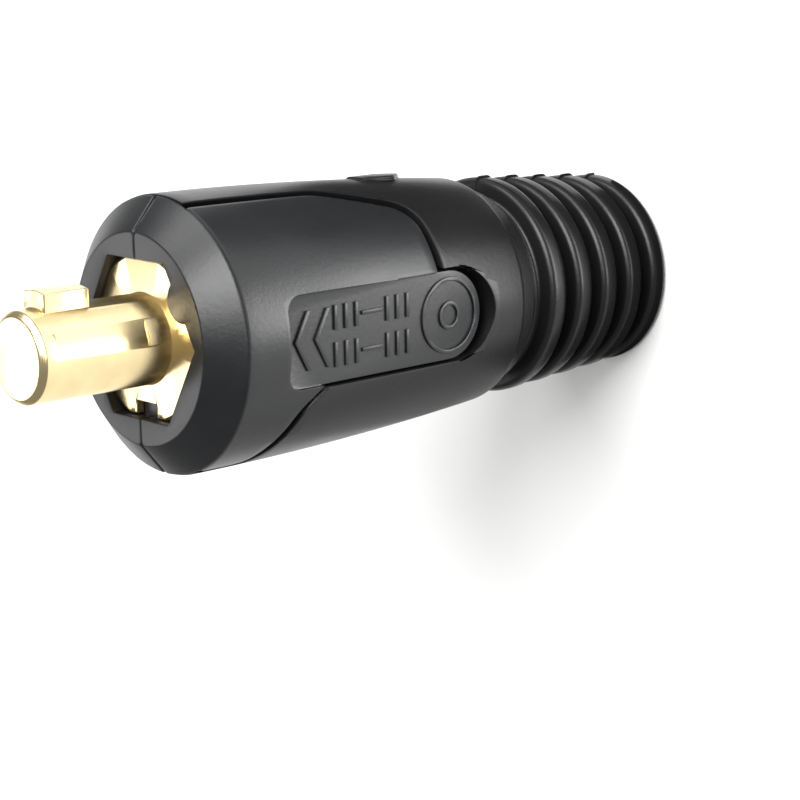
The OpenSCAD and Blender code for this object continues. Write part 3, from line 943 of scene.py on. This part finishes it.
class CABLEPLUG_OT_clamp(bpy.types.Operator):
    """Model the two threaded clamp screws and the copper wrap that they press on"""

    bl_idname = "cableplug.clamp"
    bl_label = "Clamp screws and copper wrap"

    def screw(self, size):
        """A socket set screw along Z, from the origin up, with a real helical thread."""
        major = size.screw / 2
        minor, tall = major - size.thread_depth, SCREW_HIGH - SCREW_LOW
        start = -2 * size.pitch
        flank = [(minor, 0), (minor, 0.12), (major, 0.45), (major, 0.55), (minor, 0.88), (minor, 1)]
        piece = path("Thread", [Vector((r, 0, start + part * size.pitch)) for r, part in flank], closed=False)
        bpy.ops.object.mode_set(mode="OBJECT")
        twist = piece.modifiers.new("Thread", "SCREW")
        twist.axis = "Z"
        twist.steps = twist.render_steps = 48
        twist.screw_offset = size.pitch
        twist.iterations = round(tall / size.pitch) + 4
        twist.use_merge_vertices = True
        twist.merge_threshold = 0.002 * MM
        bpy.ops.object.modifier_apply(modifier=twist.name)
        for level, way in ((-size.pitch / 2, 1), (tall + size.pitch / 2, -1)):
            bpy.ops.object.mode_set(mode="EDIT")
            bpy.ops.mesh.select_all(action="SELECT")
            bpy.ops.mesh.bisect(plane_co=(0, 0, level), plane_no=(0, 0, way), use_fill=True, clear_inner=True)
            bpy.ops.object.mode_set(mode="OBJECT")
        tidy_mesh(piece)
        lead = size.thread_depth
        ends = turned("Ends", [
            (0, 0), (minor - lead, 0), (major + lead / 2, 1.5 * lead), (major + lead / 2, tall - lead),
            (minor, tall), (0, tall)], 96, closed=False)
        combine(piece, ends, "INTERSECT")
        return combine(piece, hexagon("Socket", size.socket, tall - size.socket_depth, tall + MM))

    def execute(self, context):
        plug = context.scene.cable_plug
        size = plug.clamp
        steel = steel_finish(tuple(plug.colours.steel))
        first = self.screw(size)
        pick(first)
        first.rotation_euler.x = -math.pi / 2
        first.location = (0, SCREW_LOW, SCREW_ZS[0])
        first = settle("screw_near_mouth")
        second = copied(first, "screw_near_collar")
        second.location.z = SCREW_ZS[1] - SCREW_ZS[0]
        pick(second)
        second = settle("screw_near_collar")
        for piece, body, node in ((first, "screw_rear", "clamp_screw_rear"), (second, "screw_front", "clamp_screw_front")):
            ease(piece, 0.05 * MM, segments=1)
            fasten(piece, steel, body, "screw_steel", node)

        outer = (WRAP_HIGH.y - WRAP_LOW.y) / 2
        inner, middle = outer - size.wrap_wall, (WRAP_HIGH.y + WRAP_LOW.y) / 2
        wrap = turned("copper_wrap", [
            (inner, WRAP_LOW.z), (outer, WRAP_LOW.z), (outer, WRAP_HIGH.z), (inner, WRAP_HIGH.z)], 96)
        half = size.wrap_slit / 2
        combine(wrap, block("Slit", (0, -half, WRAP_LOW.z - MM), (2 * outer, half, WRAP_HIGH.z + MM)))
        pick(wrap)
        wrap.location.y = middle
        wrap = settle("copper_wrap")
        ease(wrap, 0.12 * MM)
        fasten(wrap, copper_finish(tuple(plug.colours.copper)), "plug_front", "copper", "cable_sleeve")
        return {"FINISHED"}


class CABLEPLUG_OT_stage(bpy.types.Operator):
    """Set the floor, the soft lights and the camera"""

    bl_idname = "cableplug.stage"
    bl_label = "Studio"

    def softbox(self, name, place, target, size, power):
        """A large area light aimed at a point."""
        lamp = bpy.data.lights.new(name, "AREA")
        lamp.shape = "RECTANGLE"
        lamp.size, lamp.size_y = size
        lamp.energy = power
        light = bpy.data.objects.new(name, lamp)
        light.location = place
        light.rotation_euler = (Vector(place) - Vector(target)).to_track_quat("Z", "Y").to_euler()
        bpy.context.scene.collection.objects.link(light)
        return light

    def card(self, name, low, high, material):
        """A black card on the floor, seen in reflections alone: it paints dark reflections that keep the black skins
        and the brass deep.
        """
        deselect()
        bpy.ops.mesh.primitive_grid_add(
            x_subdivisions=4, y_subdivisions=4, size=1,
            location=((low[0] + high[0]) / 2, (low[1] + high[1]) / 2, MM))
        bpy.context.object.scale = (high[0] - low[0], high[1] - low[1], 1)
        card = settle(name)
        card.data.materials.append(material)
        card.visible_camera = card.visible_diffuse = card.visible_shadow = False

    def execute(self, context):
        plug = context.scene.cable_plug
        deselect()
        bpy.ops.mesh.primitive_grid_add(x_subdivisions=8, y_subdivisions=8, size=4)
        floor = settle("floor")
        floor.data.materials.append(floor_finish(tuple(plug.colours.floor)))

        light = plug.light
        tail = (0, 0, 30 * MM)
        self.softbox("Key softbox", (0.44, 0.68, 1.05), tail, (0.8, 0.8), light.key)
        self.softbox("Rear softbox", (-0.73, -0.2, 0.68), tail, (0.6, 0.6), light.rear)
        self.softbox("Front softbox", (0.75, 0.2, 0.72), tail, (0.35, 0.35), light.front)
        self.softbox("Top softbox", (-0.3, 0.85, 0.65), tail, (0.5, 0.5), light.top)
        self.softbox("Low panel", (0.1, 0.026, 0.002), (0.1, 0.026, 1), (0.1, 0.06), light.panel)
        # Reflection-only cards: the black ones paint dark reflections on the lug side and at the foot, and the grey
        # one paints dimmer reflections on the far side.
        black = floor_finish((0.02, 0.02, 0.02), "Black card")
        self.card("card_lug_side", (-0.07, 0.034), (0.045, 0.255), black)
        self.card("card_foot", (0.004, -0.04), (0.034, 0.034), black)
        self.card("card_far_side", (-0.04, -0.15), (0.05, -0.04), floor_finish((0.45, 0.45, 0.45), "Grey card"))

        world = bpy.data.worlds.new("White surroundings")
        world.use_nodes = True
        world.node_tree.nodes["Background"].inputs["Color"].default_value = (1, 1, 1, 1)
        world.node_tree.nodes["Background"].inputs["Strength"].default_value = plug.light.sky
        context.scene.world = world
        context.scene.view_settings.view_transform = "Standard"

        camera = bpy.data.cameras.new("Camera")
        camera.lens = 108
        camera.sensor_width = 36
        camera.clip_start = 0.01
        eye = bpy.data.objects.new("Camera", camera)
        right = Vector((0.6668, -0.0157, -0.745)).normalized()
        back = Vector((0.7317, 0.2031, 0.6506)).normalized()
        up = back.cross(right).normalized()
        eye.matrix_world = Matrix.Translation((0.27060, 0.05918, 0.28476)) @ Matrix((
            right, up, back)).transposed().to_4x4()
        context.scene.collection.objects.link(eye)
        context.scene.camera = eye
        return {"FINISHED"}


class CABLEPLUG_PT_pieces(bpy.types.Panel):
    """Lists the pieces of the cable plug"""

    bl_label = "Cable Plug"
    bl_space_type = "VIEW_3D"
    bl_region_type = "UI"
    bl_category = "Cable Plug"

    def draw(self, context):
        for operator in PIECES:
            self.layout.operator(operator.bl_idname)


PIECES = (CABLEPLUG_OT_sleeve, CABLEPLUG_OT_shells, CABLEPLUG_OT_print, CABLEPLUG_OT_contact,
          CABLEPLUG_OT_clamp, CABLEPLUG_OT_stage)
CLASSES = (SleeveSizes, ShellSizes, ContactSizes, ClampSizes, FinishColours, StudioLight, PlugSettings,
           *PIECES, CABLEPLUG_PT_pieces)


def register():
    for cls in CLASSES:
        bpy.utils.register_class(cls)
    bpy.types.Scene.cable_plug = bpy.props.PointerProperty(type=PlugSettings)


def unregister():
    del bpy.types.Scene.cable_plug
    for cls in reversed(CLASSES):
        bpy.utils.unregister_class(cls)


def main():
    register()
    bpy.ops.cableplug.sleeve()
    bpy.ops.cableplug.shells()
    bpy.ops.cableplug.print()
    bpy.ops.cableplug.contact()
    bpy.ops.cableplug.clamp()
    bpy.ops.cableplug.stage()


if __name__ == "__main__":
    main()
